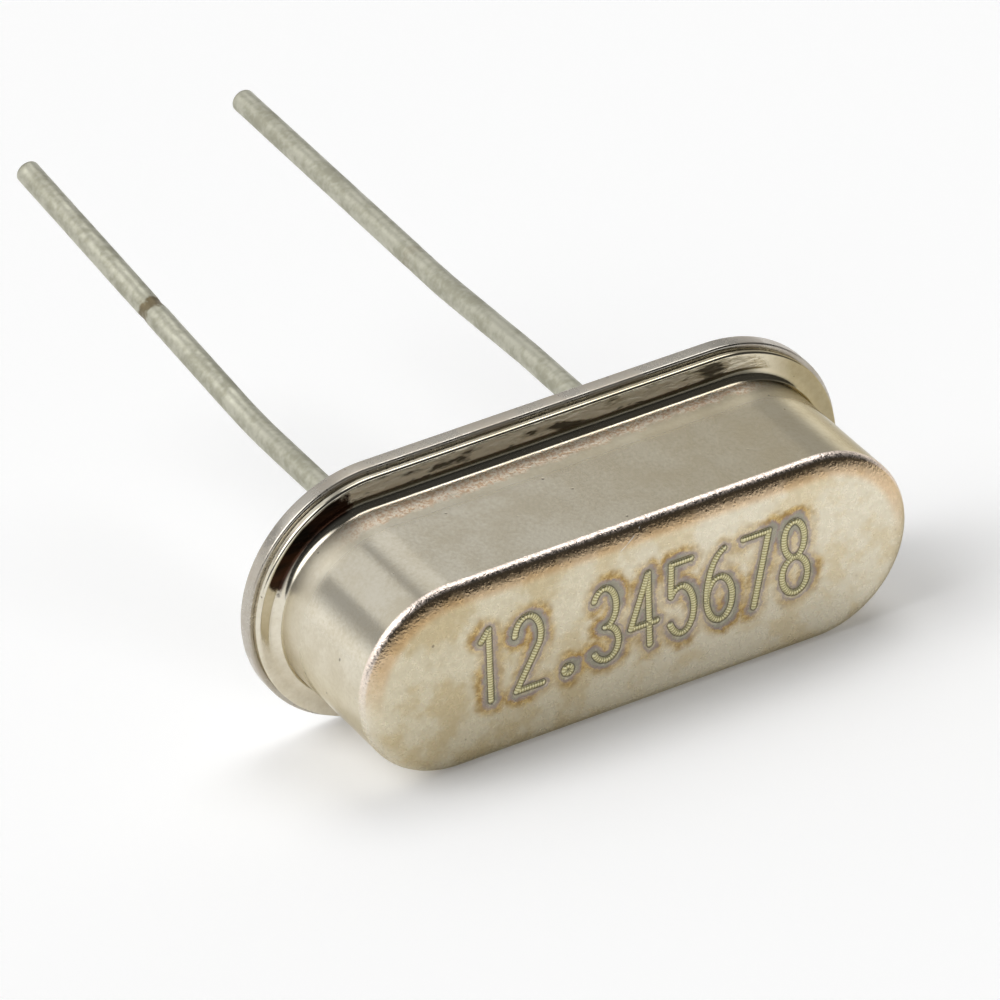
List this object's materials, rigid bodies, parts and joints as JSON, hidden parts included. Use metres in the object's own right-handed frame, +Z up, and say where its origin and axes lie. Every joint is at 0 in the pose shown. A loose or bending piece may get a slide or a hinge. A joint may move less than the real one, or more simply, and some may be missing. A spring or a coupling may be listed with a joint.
{
  "type": "crystal oscillator",
  "caption": "Low oval metal can on a flanged base with wire leads held in glass; a quartz strip on spring clips inside sets a frequency. Lies on its wide side.",
  "frame": {"origin": "middle of the base's seating face, midway between the leads", "axes": "+X along the can's length, +Z up as the part lies on its wide side, closed end of the can towards -Y, leads towards +Y; the seating face leans by 11.91 degrees"},
  "size_m": [0.011, 0.0174, 0.006],
  "materials": {
    "cover": "satin nickel, slightly warm, with fine pits and scuffs",
    "base": "satin nickel plating",
    "seal_glass": "dark fused glass",
    "lead_wire": "dull solder coat",
    "clip_spring": "bright rolled spring sheet",
    "quartz": "lapped clear crystal",
    "electrode_film": "evaporated silver",
    "adhesive": "silver-filled adhesive"
  },
  "bodies": {
    "root": {"cover": "cover", "base": "base", "glass_seal_left": "seal_glass", "glass_seal_right": "seal_glass", "lead_left": "lead_wire", "lead_right": "lead_wire", "clip_left": "clip_spring", "clip_right": "clip_spring", "quartz_blank": "quartz", "electrode_upper": "electrode_film", "electrode_lower": "electrode_film", "adhesive_left": "adhesive", "adhesive_right": "adhesive"}
  },
  "joints": []
}
